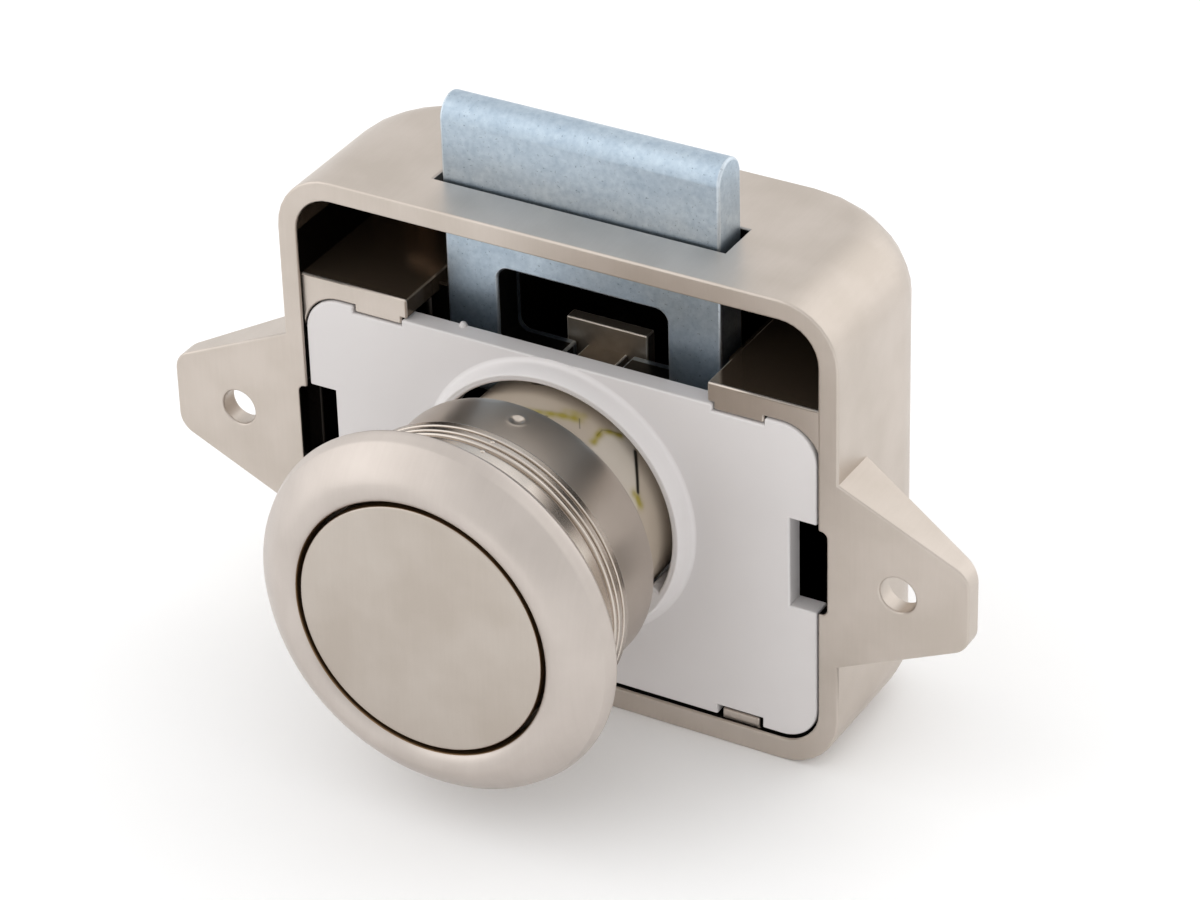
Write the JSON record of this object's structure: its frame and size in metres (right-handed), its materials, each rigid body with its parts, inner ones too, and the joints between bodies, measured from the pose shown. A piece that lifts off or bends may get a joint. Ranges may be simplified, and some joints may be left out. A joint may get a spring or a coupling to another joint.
{
  "type": "push button cabinet lock",
  "caption": "Cabinet door lock: a push knob in a round rosette draws a sprung flat bolt down into a cast case with screw ears.",
  "frame": {"origin": "on the button axis in the plane of the case rim and the ears, halfway between the ear holes", "axes": "+X along the line of the ear holes, +Y into the cupboard, +Z the way the bolt shoots"},
  "size_m": [0.0824, 0.0432, 0.0559],
  "materials": {
    "satin_nickel": "satin nickel plating on a zinc casting",
    "white_plastic": "moulded, slight sheen",
    "zinc_steel": "bluish zinc plating",
    "cast_zinc": "bare casting, greased",
    "plain_steel": "bright drawn",
    "spring_steel": "oiled wire",
    "nylon": "natural nylon",
    "cream_plastic": "moulded, greased",
    "bright_chrome": "bright plating"
  },
  "bodies": {
    "body": {"case": "satin_nickel", "cover": "white_plastic", "bolt_springs": "spring_steel", "spring_pins": "plain_steel", "plunger_spring": "spring_steel", "spring_bridge": "plain_steel", "spring_post": "plain_steel", "bridge_screws": "plain_steel", "latch_leaf": "spring_steel", "rosette_ring": "satin_nickel", "rosette_sleeve": "bright_chrome"},
    "knob": {"plunger": "cream_plastic", "knob_barrel": "bright_chrome", "knob_disc": "satin_nickel", "knob_screw": "plain_steel"},
    "driver": {"driver": "cast_zinc", "drive_pin": "plain_steel", "drive_rollers": "nylon"},
    "bolt": {"bolt": "zinc_steel"},
    "latch": {"latch_pin": "plain_steel"}
  },
  "joints": [
    {"name": "knob_slide", "type": "slide", "parent": "body", "child": "knob", "axis": [0, -1, 0], "range_m": [-0.001, 0.0084], "deforming": ["plunger_spring"]},
    {"name": "driver_slide", "type": "slide", "parent": "body", "child": "driver", "axis": [0, 0, -1], "range_m": [-0.001, 0.0084], "deforming": ["bolt_springs"]},
    {"name": "bolt_slide", "type": "slide", "parent": "driver", "child": "bolt", "axis": [0, 0, -1], "range_m": [0, 0.008], "stiffness_N_per_m": 400, "springref_m": -0.006, "deforming": ["bolt_springs"]},
    {"name": "latch_swing", "type": "hinge", "parent": "body", "child": "latch", "pos_m": [0, 0.0038, 0], "axis": [-1, 0, 0], "range_deg": [-1.01, 8.41]}
  ],
  "couplings": [
    {"joint": "driver_slide", "follows": "knob_slide", "ratio": 1},
    {"joint": "latch_swing", "follows": "knob_slide", "rad_per_m": 17.453}
  ]
}
